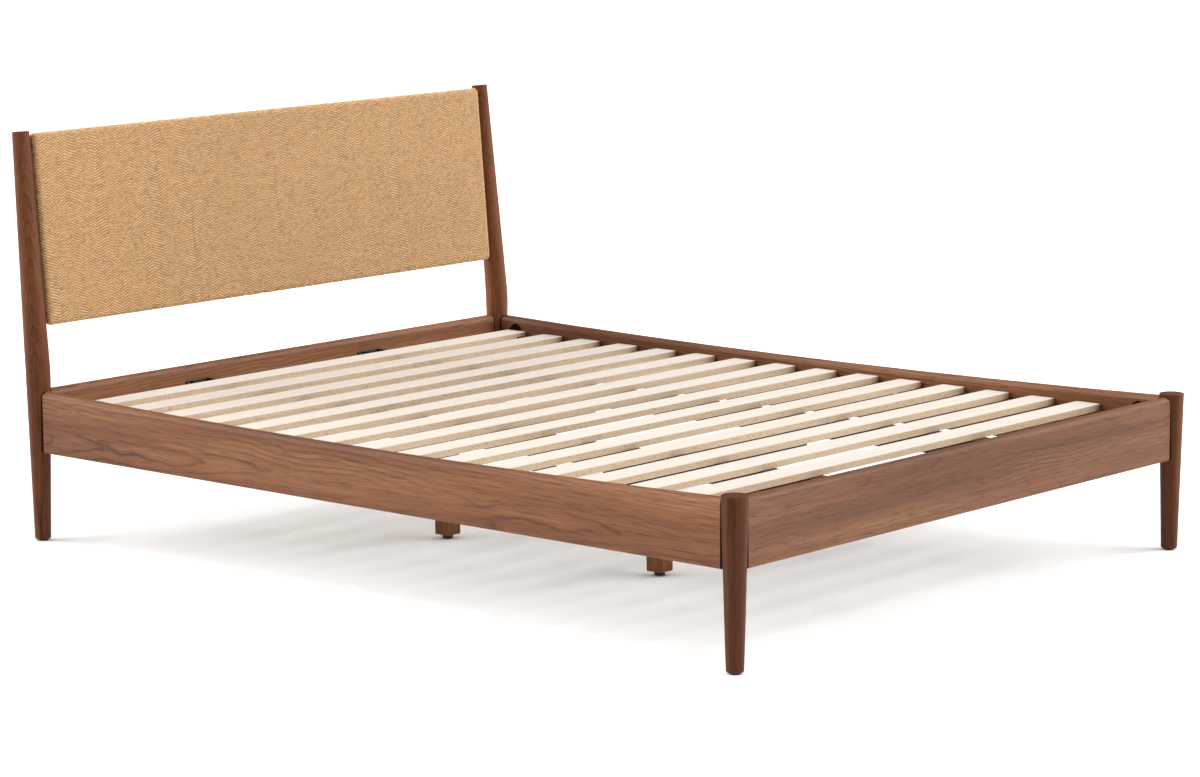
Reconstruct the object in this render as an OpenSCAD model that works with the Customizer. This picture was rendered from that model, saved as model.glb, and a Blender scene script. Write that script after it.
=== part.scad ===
// Rope bed: a wooden bed frame with a woven cord headboard panel.
// X runs across the bed, +Y towards the head, +Z up. The frame stands on Z = 0.

/* [Frame] */
// Distance across the bed between the post centres
post_spacing_x = 1558; // [1300:1:1900]
// Distance along the bed between the post centres
post_spacing_y = 2068; // [1900:1:2200]
// Thickness of the four rails
rail_t = 28; // [24:1:32]
// Height of the rails' lower edge above the floor
rail_z = 209; // [190:1:215]
// Height of the rails at their ends
rail_h = 144; // [138:1:150]
// How far the side rails' upper edge dips at mid length
side_rail_dip = 15.5; // [4:0.5:16]
// Rounding of the rails' lower edges
rail_ease = 3; // [1:0.5:5]

/* [Posts] */
// Radius of a post at its foot
post_foot_r = 18.5; // [17:0.5:22]
// Radius of a head post at its widest, where it bends
post_waist_r = 28.5; // [27:0.5:30]
// Radius of a head post at its top
head_post_top_r = 20; // [18:0.5:24]
// Height above the rails where the head posts start to bend back
bend_rise = 25; // [12:1:40]
// Radius of the bend in the head posts
bend_r = 500; // [300:10:800]
// Angle that the head posts lean back
rake = 4.8; // [2:0.1:8]
// How far a head post stands above the panel, along its lean
head_post_rise = 6.5; // [3:0.5:40]
// How far a foot post stands above the rails
foot_post_rise = 6; // [3:0.5:20]
// Chamfer at the foot of a post
post_foot_chamfer = 3; // [1:0.5:5]
// Chamfer round the upper end of a post
post_top_chamfer = 1.5; // [0.5:0.5:3]
// Radius of the glide under a post
post_glide_r = 12; // [8:0.5:14]
// Thickness of the glide under a post
post_glide_h = 3; // [2:0.5:5]
// How much narrower the glide is at the floor
post_glide_taper = 1; // [0.5:0.25:2]
// Radius of the nail that holds a post glide
glide_nail_r = 1.5; // [1:0.25:2]
// Length of the nail that holds a post glide, above the glide
glide_nail_len = 15; // [10:1:22]

/* [Headboard panel] */
// Gap between the panel's sides and the head posts at their widest
panel_side_gap = 1.5; // [0.5:0.5:6]
// Height of the woven panel, along its lean
panel_h = 443; // [400:1:450]
// Thickness of the woven panel
panel_t = 26; // [24:1:30]
// Gap along the lean between the panel and the post's bend
panel_rise = 78.5; // [60:0.5:100]
// How far the panel stands forward of the posts' axis
panel_forward = 7; // [4:0.5:8]
// Thickness of the woven cord over the panel's frame
weave_t = 4; // [3:0.5:5]
// Width of the panel frame's rails and stiles
panel_bar_w = 45; // [35:1:60]

/* [Slats] */
// Number of slats
slat_count = 16; // [14:1:18]
// Gap between the first or last slat and the beam hangers
slat_hanger_gap = 5.5; // [3:0.5:12]
// Width of a slat
slat_w = 63.5; // [55:0.5:66]
// Thickness of a slat
slat_t = 16; // [14:0.5:18]
// How far the slats' upper face lies below the rails' upper edge
slat_drop = 35; // [31:0.5:38]
// Gap between a slat's end and the side rail
slat_end_gap = 5; // [2:0.5:6]
// Rounding of a slat's long edges
slat_ease = 2; // [1:0.5:3]
// Distance that the rebate of the first and last slat reaches past the ledger
rebate_margin = 10; // [4:0.5:20]
// Depth of the rebate under the ends of the first and last slat
rebate_depth = 6; // [3:0.5:8]
// Width of the ledger that carries the slats' ends
ledger_w = 28; // [22:1:29]
// Height of the ledger
ledger_h = 30; // [25:1:34]
// Gap between a ledger's end and the head or foot rail
ledger_end_gap = 15; // [8:1:20]
// Distance that the ledger's raised end reaches past the end slat
ledger_step_margin = 13; // [6:1:18]

/* [Under frame] */
// Distance between the centres of the two support beams
beam_spacing = 582; // [500:1:640]
// Width of a support beam
beam_w = 50; // [40:1:60]
// Height of a support beam
beam_h = 43; // [38:0.5:46]
// Distance between the centres of the two cross bars
cross_bar_spacing = 643; // [540:1:760]
// Side of the square cross bars
cross_bar_side = 42; // [36:1:44]
// Distance that a cross bar reaches past a support beam's centre
cross_bar_overhang = 40; // [32:1:60]
// Distance across the bed between the support legs' centres
leg_spacing = 336; // [200:1:420]
// Side of the square support legs
leg_side = 44; // [40:1:48]
// Rounding of a support leg's upright edges
leg_ease = 5; // [3:0.5:8]
// Chamfer round the foot of a support leg
leg_chamfer = 2; // [1:0.5:3]

/* [Levelling glides] */
// Radius of a levelling glide's base
leveller_r = 12; // [9:0.5:14]
// Height of a levelling glide's base
leveller_h = 6; // [5:0.5:8]
// Length of threaded stem that stands out between the base and the leg
leveller_out = 4; // [4:0.5:6]
// Radius of a levelling glide's threaded stem
leveller_stem_r = 4; // [3:0.25:5]
// Length of a levelling glide's threaded stem above its base
leveller_stem_len = 34; // [30:1:45]
// Depth of the threaded insert in a support leg
leveller_insert_len = 15; // [10:1:18]
// Wall of the threaded insert in a support leg
leveller_insert_wall = 2; // [1.5:0.25:3]
// Chamfer round the foot of a levelling glide
leveller_chamfer = 1.5; // [0.5:0.25:2]

/* [Beam hangers] */
// Thickness of a hanger's steel
hanger_t = 3; // [2:0.25:4]
// Width of a hanger's ears beside its cheeks
hanger_ear_w = 13.5; // [12:0.5:18]
// Distance that a hanger's cheeks stand out from the rail
hanger_reach = 34; // [24:1:44]
// Height of a hanger above the slats' lower face
hanger_rise = 15; // [10:0.5:15.5]
// Distance of the hanger's screws from its upper and lower ends
hanger_screw_inset = 8; // [6:0.5:12]
// Clearance between a beam and a hanger's cheek
hanger_clearance = 0.5; // [0.3:0.1:1]

/* [Fasteners] */
// Distance of the side rail bolts below the rails' upper edge
bolt_drop = 41; // [36:0.5:46]
// Radius of the side rail bolts
bolt_r = 4; // [3:0.25:5]
// Radius of the round bolt pocket in a side rail
pocket_r = 22.5; // [20:0.5:24]
// Clearance between the bolt pocket's floor and what lies in it
pocket_floor_gap = 0.5; // [0.3:0.1:1.5]
// Distance from the post's axis to the centre of the bolt pocket
pocket_set = 78.5; // [72:0.5:90]
// Thickness of the half moon washer at its middle
washer_t = 7; // [5:0.5:9]
// Length of bolt that stands out past its nut
bolt_stand_out = 2; // [1:0.5:4]
// Width of the half moon washer
washer_w = 13; // [11:0.5:16]
// Distance across the flats of the bolt's nut
nut_flats = 13; // [11:0.5:16]
// Thickness of the bolt's nut
nut_t = 6.5; // [5:0.5:8]
// Wall of the threaded insert in a post
insert_wall = 2.5; // [1.5:0.25:3]
// Length of the threaded insert in a post
insert_len = 19; // [14:0.5:20]
// Radius of the dowels at the rails' ends
dowel_r = 5; // [4:0.25:6]
// Length of the dowels
dowel_len = 44; // [36:1:48]
// Height of the head and foot rails' upper dowels above the rails' lower edge
dowel_high_rise = 76; // [66:0.5:84]
// Height of the head and foot rails' lower dowels above the rails' lower edge
dowel_low_rise = 23; // [18:0.5:28]
// Height of the side rails' dowels above the rails' lower edge
side_dowel_rise = 46; // [40:0.5:52]
// Radius of the wood screws' shanks
screw_r = 2.5; // [2:0.25:3]
// Radius of the wood screws' heads
screw_head_r = 5; // [4.5:0.25:5.5]
// Height of the wood screws' heads
screw_head_h = 3; // [2:0.25:4]
// Length of the wood screws' shanks in the hangers
hanger_screw_len = 22; // [16:1:26]
// Length of the wood screws' shanks in the ledgers
ledger_screw_len = 44; // [40:1:50]
// Distance of a ledger's outermost screws from its raised ends
ledger_screw_inset = 40; // [20:1:60]
// Number of screws in a ledger
ledger_screw_count = 7; // [5:1:9]
// Length of the screws that hold the cross bars
cross_screw_len = 62; // [56:1:72]
// Radius of the bolts that hold the legs
leg_bolt_r = 4; // [3:0.25:5]
// Length of the bolts that hold the legs
leg_bolt_len = 64; // [50:1:76]
// Distance of a cross bar's screws from the beam's middle, across the bed
cross_screw_set_x = 12.5; // [9:0.5:16]
// Distance of a cross bar's screws from its middle, along the bed
cross_screw_set_y = 8.4; // [6:0.1:12]
// Distance that a panel dowel stops short of its post's axis
panel_dowel_short = 2; // [1:0.5:6]

/* [Clearances] */
// Clearance between wooden pieces that meet on a curve
wood_gap = 0.3; // [0.2:0.05:0.5]
// Clearance round a fastener in its hole
hole_gap = 0.2; // [0.1:0.05:0.3]
// Clearance of a levelling glide's stem in its insert
thread_gap = 0.08; // [0.05:0.01:0.1]
// Clearance of a side rail bolt in its bore
bolt_bore_gap = 0.5; // [0.3:0.1:1]
// Depth left free past the end of a nail or a bolt
blind_gap = 1; // [0.5:0.25:3]

/* [Hidden] */
SLATS = [for (i = [1:slat_count]) str("slat_", i < 10 ? "0" : "", i)];

walnut = "#8f6650";
walnut_shade = "#70503d";
pine = "#f4e9da";
beech = "#c9a77e";
cord = "#cda272";
black_steel = "#262626";
zinc = "#b9bcc0";
black_plastic = "#1c1c1c";

fine = 96; // facets of the large rounds
medium = 48; // facets of the small rounds
turn_fine = 1440; // facets of a full turn of a head post's bend
arc_fine = 5760; // facets of a full turn of a side rail's upper edge
bend_ledge = 0.05; // step between a head post's bend and its leaning part
over = 1; // how far a cut runs out past a face
nose_margin = 0.15; // keeps the side rail's rounding from meeting its sides without an edge
arc_step = 10; // the side rails' arc has a radius in whole steps of this
cope_margin = 20; // how far a post's cope runs past a rail, above and below

post_x = post_spacing_x / 2;
post_y = post_spacing_y / 2;
half_t = rail_t / 2;
nose_r = half_t + nose_margin;
crest_z = rail_z + rail_h;
bend_z = crest_z + bend_rise;
foot_post_z = crest_z + foot_post_rise;
bolt_z = crest_z - bolt_drop;
dowel_high_z = rail_z + dowel_high_rise;
dowel_low_z = rail_z + dowel_low_rise;
side_dowel_z = rail_z + side_dowel_rise;
pocket_depth = half_t + max(washer_w, nut_flats) / 2 + pocket_floor_gap;
inner_x = post_x - half_t;
inner_y = post_y - half_t;

// The head posts' lean: where the bend ends, and the length above it
bend_end_y = bend_r * (1 - cos(rake));
bend_end_z = bend_z + bend_r * sin(rake);
lean_len = panel_rise + panel_h + head_post_rise;
// The head posts also turn in, so that their tapering sides stay along the panel
turn_in = atan((post_waist_r - head_post_top_r) / lean_len);
head_top_y = post_y + bend_end_y + (lean_len - post_top_chamfer) * cos(turn_in) * sin(rake)
    + head_post_top_r * cos(rake);
foot_end_y = -post_y - post_r(foot_post_z - post_top_chamfer);
// The part is moved along Y so that its origin is under the middle of its box
centre_y = -(head_top_y + foot_end_y) / 2;

// The side rail's upper edge is an arc with its centre high above the bed
arc_r = arc_step * round((post_y * post_y + side_rail_dip * side_rail_dip)
                         / (2 * arc_step * side_rail_dip));
arc_angle = asin((post_y + cope_margin) / arc_r);

slat_under_z = crest_z - slat_drop - slat_t;
slat_len = 2 * (inner_x - slat_end_gap);
rebate_len = ledger_w - slat_end_gap + rebate_margin;
end_slat_y = inner_y - hanger_reach - slat_hanger_gap - slat_w / 2;
slat_pitch = 2 * end_slat_y / (slat_count - 1);
ledger_step_y = end_slat_y - slat_w / 2 - ledger_step_margin;
ledger_half = inner_y - ledger_end_gap;
pocket_y = post_y - pocket_set;
ledger_screw_end_y = ledger_step_y - ledger_screw_inset;
ledger_screw_step = 2 * ledger_screw_end_y / (ledger_screw_count - 1);

beam_x = beam_spacing / 2;
beam_under_z = slat_under_z - beam_h;
beam_half = inner_y - hanger_t - hanger_clearance;
cross_y = cross_bar_spacing / 2;
cross_under_z = beam_under_z - cross_bar_side;
leg_x = leg_spacing / 2;
leg_foot_z = leveller_h + leveller_out;
cheek_x = beam_w / 2 + hanger_clearance;
hanger_seat_z = beam_under_z - hanger_t;
hanger_top_z = slat_under_z + hanger_rise;
hanger_w = 2 * (cheek_x + hanger_t + hanger_ear_w);
ear_x = cheek_x + hanger_t + hanger_ear_w / 2;
hanger_screw_z = [hanger_top_z - hanger_screw_inset, hanger_seat_z + hanger_screw_inset];

insert_r = bolt_r + insert_wall;
leveller_insert_r = leveller_stem_r + leveller_insert_wall;
panel_dowel_x = post_x - panel_dowel_short;
panel_w = post_spacing_x - 2 * (post_waist_r + panel_side_gap);

// Radius of a post's taper at a height
function post_r(z) = post_foot_r
    + (post_waist_r - post_foot_r) * (z - post_glide_h) / (bend_z - post_glide_h);

// ---------- helpers ----------
module placed() {
    translate([0, centre_y, 0]) children();
}

module at_posts(ends = [-1, 1]) {
    for (sx = [-1, 1], sy = ends) translate([sx * post_x, sy * post_y, 0]) children();
}

// A tapered post turned about its own axis, up to a height
module post_turning(top_z, top_chamfer) {
    top_r = post_r(top_z - top_chamfer);
    foot_z = post_glide_h;
    edge = top_chamfer == 0 ? [] : [[top_r, top_z - top_chamfer]];
    rotate_extrude($fn = fine)
        polygon(concat([[0, foot_z], [post_foot_r - post_foot_chamfer, foot_z],
                        [post_r(foot_z + post_foot_chamfer), foot_z + post_foot_chamfer]],
                       edge, [[top_r - top_chamfer, top_z], [0, top_z]]));
}

// Everything above the bend of the head posts stands in this leaning frame
module leaning() {
    translate([0, post_y + bend_end_y, bend_end_z]) rotate([-rake, 0, 0]) children();
}

// Holes that a post needs, for a post at +X and +Y: mirrored for the others
module post_holes() {
    for (z = [dowel_high_z, dowel_low_z]) end_dowel(z, hole_gap);
    side_dowel(hole_gap);
    translate([0, -post_r(bolt_z) - over, bolt_z]) rotate([-90, 0, 0])
        cylinder(h = insert_len + over + hole_gap, r = insert_r + hole_gap, $fn = medium);
    translate([0, 0, post_glide_h - over])
        cylinder(h = glide_nail_len + blind_gap + over, r = glide_nail_r + hole_gap, $fn = medium);
}

// The space that a post and its clearance take out of a rail's end
module post_cope() {
    z0 = rail_z - cope_margin;
    z1 = crest_z + cope_margin;
    translate([0, 0, z0])
        cylinder(h = z1 - z0, r1 = post_r(z0) + wood_gap, r2 = post_r(z1) + wood_gap, $fn = fine);
}

module head_post(side) {
    color(walnut_shade) placed() {
        difference() {
            union() {
                translate([side * post_x, post_y, 0]) {
                    post_turning(bend_z, 0);
                    translate([0, bend_r, bend_z]) rotate([90, 0, -90])
                        rotate_extrude(angle = rake, $fn = turn_fine)
                            translate([bend_r, 0]) circle(r = post_waist_r, $fn = fine);
                }
                leaning() translate([side * post_x, 0, 0]) rotate([0, -side * turn_in, 0]) {
                    translate([0, 0, -over])
                        cylinder(h = lean_len - post_top_chamfer + over,
                                 r1 = post_waist_r - bend_ledge, r2 = head_post_top_r, $fn = fine);
                    translate([0, 0, lean_len - post_top_chamfer])
                        cylinder(h = post_top_chamfer, r1 = head_post_top_r,
                                 r2 = head_post_top_r - post_top_chamfer, $fn = fine);
                }
            }
            translate([side * post_x, post_y, 0]) mirror([side < 0 ? 1 : 0, 0, 0]) post_holes();
            leaning() panel_dowel_set(side, hole_gap);
        }
    }
}

module foot_post(side) {
    color(walnut_shade) placed() {
        translate([side * post_x, -post_y, 0]) mirror([0, 1, 0])
            mirror([side < 0 ? 1 : 0, 0, 0]) difference() {
                post_turning(foot_post_z, post_top_chamfer);
                post_holes();
            }
    }
}

// ---------- rails ----------
module rail_foot_section(top) {
    for (s = [-1, 1]) translate([s * (half_t - rail_ease), rail_ease])
        circle(r = rail_ease, $fn = medium);
    translate([rail_ease - half_t, 0]) square([rail_t - 2 * rail_ease, rail_ease]);
    translate([-half_t, rail_ease]) square([rail_t, top - rail_ease]);
}

module rail_section() {
    rail_foot_section(rail_h - half_t);
    translate([0, rail_h - half_t]) circle(r = half_t, $fn = fine);
}

// Straight rail across the bed, between the two posts of one end
module end_rail(end) {
    color(walnut) placed() difference() {
        translate([0, end * post_y, rail_z]) rotate([90, 0, 90]) translate([0, 0, -post_x])
            linear_extrude(height = post_spacing_x) rail_section();
        at_posts([end]) post_cope();
        for (sx = [-1, 1]) translate([sx * post_x, end * post_y, 0])
            mirror([sx < 0 ? 1 : 0, 0, 0]) for (z = [dowel_high_z, dowel_low_z])
                end_dowel(z, hole_gap);
        for (sx = [-1, 1]) translate([sx * beam_x, end * inner_y, 0])
            mirror([0, end < 0 ? 1 : 0, 0]) hanger_screw_set(hole_gap);
    }
}

// A dowel along X between a post and the end of a head or foot rail
module end_dowel(z, gap) {
    translate([-post_r(z) - dowel_len / 2, 0, z]) rotate([0, 90, 0])
        cylinder(h = dowel_len, r = dowel_r + gap, $fn = medium);
}

// A dowel along Y between a post and the end of a side rail
module side_dowel(gap) {
    translate([0, -post_r(side_dowel_z) - dowel_len / 2, side_dowel_z]) rotate([-90, 0, 0])
        cylinder(h = dowel_len, r = dowel_r + gap, $fn = medium);
}

// What is cut away above a side rail's rounded, dipping upper edge
module side_rail_arc_cut() {
    translate([0, 0, crest_z - side_rail_dip + arc_r]) rotate([0, 90, 0])
        rotate([0, 0, -arc_angle]) rotate_extrude(angle = 2 * arc_angle, $fn = arc_fine)
            difference() {
                translate([arc_r - rail_h / 2, -rail_t]) square([rail_h / 2 + nose_r, 2 * rail_t]);
                translate([arc_r + nose_r, 0]) circle(r = nose_r, $fn = fine);
            }
}

// Side rail with a dipping upper edge; side is -1 for left and 1 for right
module side_rail(side) {
    color(walnut) placed() difference() {
        difference() {
            translate([side * post_x, post_y, rail_z]) rotate([90, 0, 0])
                linear_extrude(height = post_spacing_y) rail_foot_section(rail_h + cope_margin);
            translate([side * post_x, 0, 0]) for (sy = [-1, 1]) translate([0, sy * post_y, 0])
                mirror([0, sy < 0 ? 1 : 0, 0]) mirror([side < 0 ? 1 : 0, 0, 0]) {
                    post_cope();
                    side_joint_holes();
                }
            ledger_screw_set(side, hole_gap);
        }
        translate([side * post_x, 0, 0]) side_rail_arc_cut();
    }
}

// Bolt bore, pocket and dowel hole at the end of a side rail at +X and +Y
module side_joint_holes() {
    side_dowel(hole_gap);
    translate([0, -pocket_set, bolt_z]) rotate([-90, 0, 0])
        cylinder(h = pocket_set, r = bolt_r + bolt_bore_gap, $fn = medium);
    translate([-half_t - over, -pocket_set, bolt_z]) rotate([0, 90, 0])
        cylinder(h = pocket_depth + over, r = pocket_r, $fn = fine);
}

// ---------- slats and ledgers ----------
module slat_section() {
    for (s = [-1, 1], z = [slat_ease, slat_t - slat_ease])
        translate([s * (slat_w / 2 - slat_ease), z]) circle(r = slat_ease, $fn = medium);
    translate([slat_ease - slat_w / 2, 0]) square([slat_w - 2 * slat_ease, slat_t]);
    translate([-slat_w / 2, slat_ease]) square([slat_w, slat_t - 2 * slat_ease]);
}

// Slats are counted from the head; the first and the last have rebated ends
module slat(i) {
    y = end_slat_y - (i - 1) * slat_pitch;
    color(pine) placed() difference() {
        translate([-slat_len / 2, y, slat_under_z]) rotate([90, 0, 90])
            linear_extrude(height = slat_len) slat_section();
        if (i == 1 || i == slat_count) for (s = [-1, 1])
            translate([s * (slat_len / 2 - rebate_len / 2 + over), y, slat_under_z])
                cube([rebate_len + 2 * over, slat_w + 2 * over, 2 * rebate_depth], center = true);
    }
}

// Ledger with raised ends under the rebated slats, scooped out round the bolt pockets
module slat_ledger(side) {
    color(walnut_shade) placed() difference() {
        translate([side * (inner_x - ledger_w / 2), 0, 0]) union() {
            translate([-ledger_w / 2, -ledger_half, slat_under_z - ledger_h])
                cube([ledger_w, 2 * ledger_half, ledger_h]);
            for (s = [-1, 1]) translate([-ledger_w / 2, s > 0 ? ledger_step_y : -ledger_half,
                                         slat_under_z - ledger_h])
                cube([ledger_w, ledger_half - ledger_step_y, ledger_h + rebate_depth]);
        }
        for (s = [-1, 1]) translate([side * inner_x, s * pocket_y, bolt_z]) rotate([0, 90, 0])
            cylinder(h = 2 * (ledger_w + over), r = pocket_r, center = true, $fn = fine);
        ledger_screw_set(side, hole_gap);
    }
}

// ---------- under frame ----------
module support_beam(side) {
    color(beech) placed() difference() {
        translate([side * beam_x, 0, beam_under_z + beam_h / 2])
            cube([beam_w, 2 * beam_half, beam_h], center = true);
        for (sy = [-1, 1]) cross_screws_at(side, sy, hole_gap);
    }
}

module cross_bar(end) {
    color(beech) placed() difference() {
        translate([0, end * cross_y, cross_under_z + cross_bar_side / 2])
            cube([beam_spacing + 2 * cross_bar_overhang, cross_bar_side, cross_bar_side],
                 center = true);
        for (sx = [-1, 1]) {
            cross_screws_at(sx, end, hole_gap);
            leg_bolt(sx, end, hole_gap);
        }
    }
}

module support_leg(side, end) {
    outer = leg_side / 2;
    corner_at = outer - leg_ease;
    cut = leg_chamfer * sqrt(2);
    color(walnut_shade) placed() translate([side * leg_x, end * cross_y, 0]) difference() {
        translate([0, 0, leg_foot_z]) linear_extrude(height = cross_under_z - leg_foot_z) {
            square([leg_side, 2 * corner_at], center = true);
            square([2 * corner_at, leg_side], center = true);
            for (sx = [-1, 1], sy = [-1, 1]) translate([sx * corner_at, sy * corner_at])
                circle(r = leg_ease, $fn = medium);
        }
        for (turn = [0:90:270]) rotate([0, 0, turn]) translate([outer, 0, leg_foot_z])
            rotate([0, 45, 0]) cube([cut, leg_side + 2 * over, cut], center = true);
        translate([0, 0, leg_foot_z - over])
            cylinder(h = leveller_insert_len + over, r = leveller_insert_r + hole_gap, $fn = medium);
        translate([0, 0, leg_foot_z - over])
            cylinder(h = leveller_stem_len + over, r = leveller_stem_r + bolt_bore_gap, $fn = medium);
        translate([0, 0, cross_under_z - leg_bolt_len / 2 - hole_gap])
            cylinder(h = leg_bolt_len, r = leg_bolt_r + hole_gap, $fn = medium);
    }
}

// Hanger with a back plate on the rail, two cheeks and a seat for the beam
module beam_hanger(side, end) {
    color(black_steel) placed() translate([side * beam_x, end * inner_y, 0])
        mirror([0, end < 0 ? 1 : 0, 0]) difference() {
            union() {
                translate([-hanger_w / 2, -hanger_t, hanger_seat_z])
                    cube([hanger_w, hanger_t, hanger_top_z - hanger_seat_z]);
                for (s = [-1, 1]) translate([s > 0 ? cheek_x : -cheek_x - hanger_t, -hanger_reach,
                                             hanger_seat_z])
                    cube([hanger_t, hanger_reach, hanger_top_z - hanger_seat_z]);
                translate([-cheek_x - hanger_t, -hanger_reach, hanger_seat_z])
                    cube([2 * (cheek_x + hanger_t), hanger_reach, hanger_t]);
            }
            hanger_screw_set(hole_gap);
        }
}

module leveller(side, end) {
    color(black_plastic) placed() translate([side * leg_x, end * cross_y, 0])
        rotate_extrude($fn = fine)
            polygon([[0, 0], [leveller_r - leveller_chamfer, 0], [leveller_r, leveller_chamfer],
                     [leveller_r, leveller_h],
                     [leveller_stem_r, leveller_h], [leveller_stem_r, leveller_h + leveller_stem_len],
                     [0, leveller_h + leveller_stem_len]]);
}

module leveller_inserts() {
    color(zinc) placed() for (sx = [-1, 1], sy = [-1, 1])
        translate([sx * leg_x, sy * cross_y, leg_foot_z]) difference() {
            cylinder(h = leveller_insert_len, r = leveller_insert_r, $fn = medium);
            translate([0, 0, -over])
                cylinder(h = leveller_insert_len + 2 * over, r = leveller_stem_r + thread_gap, $fn = fine);
        }
}

// ---------- fasteners ----------
// A wood screw along +Z with its head below Z = 0; with a gap, the hole that it needs
module wood_screw(len, gap) {
    head_h = screw_head_h + (gap > 0 ? over : 0);
    cylinder(h = len, r = screw_r + gap, $fn = medium);
    translate([0, 0, -head_h]) cylinder(h = head_h, r = screw_head_r + gap, $fn = medium);
}

// The four screws of a hanger on a rail whose inner face is at Y = 0
module hanger_screw_set(gap) {
    for (sx = [-1, 1], z = hanger_screw_z)
        translate([sx * ear_x, -hanger_t, z]) rotate([-90, 0, 0]) wood_screw(hanger_screw_len, gap);
}

module hanger_screws() {
    color(zinc) placed() for (sx = [-1, 1], sy = [-1, 1])
        translate([sx * beam_x, sy * inner_y, 0]) mirror([0, sy < 0 ? 1 : 0, 0]) hanger_screw_set(0);
}

// The screws of one ledger, with their heads let into its inner face
module ledger_screw_set(side, gap) {
    for (k = [0:ledger_screw_count - 1])
        translate([side * (inner_x - ledger_w + screw_head_h),
                   -ledger_screw_end_y + k * ledger_screw_step, slat_under_z - ledger_h / 2])
            rotate([0, side * 90, 0]) wood_screw(ledger_screw_len, gap);
}

module ledger_screws() {
    color(zinc) placed() for (side = [-1, 1]) ledger_screw_set(side, 0);
}

// The two screws that hold a beam on a cross bar, driven from below
module cross_screws_at(side, end, gap) {
    for (d = [-1, 1])
        translate([side * beam_x + d * cross_screw_set_x, end * cross_y + d * cross_screw_set_y,
                   cross_under_z + screw_head_h])
            wood_screw(cross_screw_len, gap);
}

module cross_bar_screws() {
    color(zinc) placed() for (sx = [-1, 1], sy = [-1, 1]) cross_screws_at(sx, sy, 0);
}

module leg_bolt(side, end, gap) {
    translate([side * leg_x, end * cross_y, cross_under_z - leg_bolt_len / 2])
        cylinder(h = leg_bolt_len, r = leg_bolt_r + gap, $fn = medium);
}

module leg_bolts() {
    color(zinc) placed() for (sx = [-1, 1], sy = [-1, 1]) leg_bolt(sx, sy, 0);
}

// Places a piece of the joint at +X and +Y at all four side rail ends
module at_side_joints() {
    for (sx = [-1, 1], sy = [-1, 1]) translate([sx * post_x, sy * post_y, 0])
        mirror([0, sy < 0 ? 1 : 0, 0]) mirror([sx < 0 ? 1 : 0, 0, 0]) children();
}

washer_face_y = -pocket_set + pocket_r - washer_t;

module side_rail_bolts() {
    tip = washer_face_y - nut_t - bolt_stand_out;
    root = -post_r(bolt_z) + insert_len - blind_gap;
    color(zinc) placed() at_side_joints() translate([0, tip, bolt_z]) rotate([-90, 0, 0])
        cylinder(h = root - tip, r = bolt_r, $fn = medium);
}

module half_moon_washers() {
    color(zinc) placed() at_side_joints() difference() {
        translate([-washer_w / 2, -pocket_set, bolt_z]) rotate([0, 90, 0])
            cylinder(h = washer_w, r = pocket_r - wood_gap, $fn = fine);
        translate([-washer_w, -pocket_set - 2 * pocket_r, bolt_z - 2 * pocket_r])
            cube([2 * washer_w, washer_face_y + pocket_set + 2 * pocket_r, 4 * pocket_r]);
        translate([0, -pocket_set, bolt_z]) rotate([-90, 0, 0])
            cylinder(h = pocket_set, r = bolt_r + hole_gap, $fn = medium);
    }
}

module bolt_nuts() {
    color(zinc) placed() at_side_joints() translate([0, washer_face_y - nut_t, bolt_z])
        rotate([-90, 0, 0]) difference() {
            rotate([0, 0, 30]) cylinder(h = nut_t, r = nut_flats / 2 / cos(30), $fn = 6);
            translate([0, 0, -over])
                cylinder(h = nut_t + 2 * over, r = bolt_r + hole_gap, $fn = medium);
        }
}

// The inserts' outer ends follow the posts' round faces
module post_inserts() {
    color(zinc) placed() at_side_joints() intersection() {
        translate([0, -post_r(bolt_z) - over, bolt_z]) rotate([-90, 0, 0]) difference() {
            cylinder(h = insert_len + over, r = insert_r, $fn = medium);
            translate([0, 0, -over])
                cylinder(h = insert_len + 3 * over, r = bolt_r + hole_gap, $fn = medium);
        }
        translate([0, 0, rail_z]) cylinder(h = rail_h, r1 = post_r(rail_z), r2 = post_r(crest_z), $fn = fine);
    }
}

module rail_dowels() {
    color(beech) placed() {
        at_side_joints() {
            side_dowel(0);
            for (z = [dowel_high_z, dowel_low_z]) end_dowel(z, 0);
        }
    }
}

module post_glides() {
    color(black_plastic) placed() at_posts() {
        cylinder(h = post_glide_h, r1 = post_glide_r - post_glide_taper, r2 = post_glide_r,
                 $fn = medium);
        cylinder(h = post_glide_h + glide_nail_len, r = glide_nail_r, $fn = medium);
    }
}

// ---------- headboard panel ----------
// The panel's outline drawn in by a distance: a slab whose edges are fully rounded
module panel_slab(inset) {
    r = panel_t / 2 - inset;
    x = panel_w / 2 - panel_t / 2;
    z0 = panel_rise + panel_t / 2;
    z1 = panel_rise + panel_h - panel_t / 2;
    translate([-x, -panel_forward - r, z0]) cube([2 * x, 2 * r, z1 - z0]);
    for (z = [z0, z1]) {
        translate([-x, -panel_forward, z]) rotate([0, 90, 0]) cylinder(h = 2 * x, r = r, $fn = fine);
        for (s = [-1, 1]) translate([s * x, -panel_forward, z]) sphere(r = r, $fn = fine);
    }
    for (s = [-1, 1]) translate([s * x, -panel_forward, z0]) cylinder(h = z1 - z0, r = r, $fn = fine);
}

module panel_dowel_at(side, z, gap) {
    translate([side * panel_dowel_x, -panel_forward, z]) rotate([0, side * -90, 0])
        cylinder(h = panel_dowel_x - panel_w / 2 + panel_bar_w, r = dowel_r + gap, $fn = medium);
}

module panel_dowel_set(side, gap) {
    for (z = [panel_rise + weave_t + panel_bar_w / 2, panel_rise + panel_h - weave_t - panel_bar_w / 2])
        panel_dowel_at(side, z, gap);
}

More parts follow.
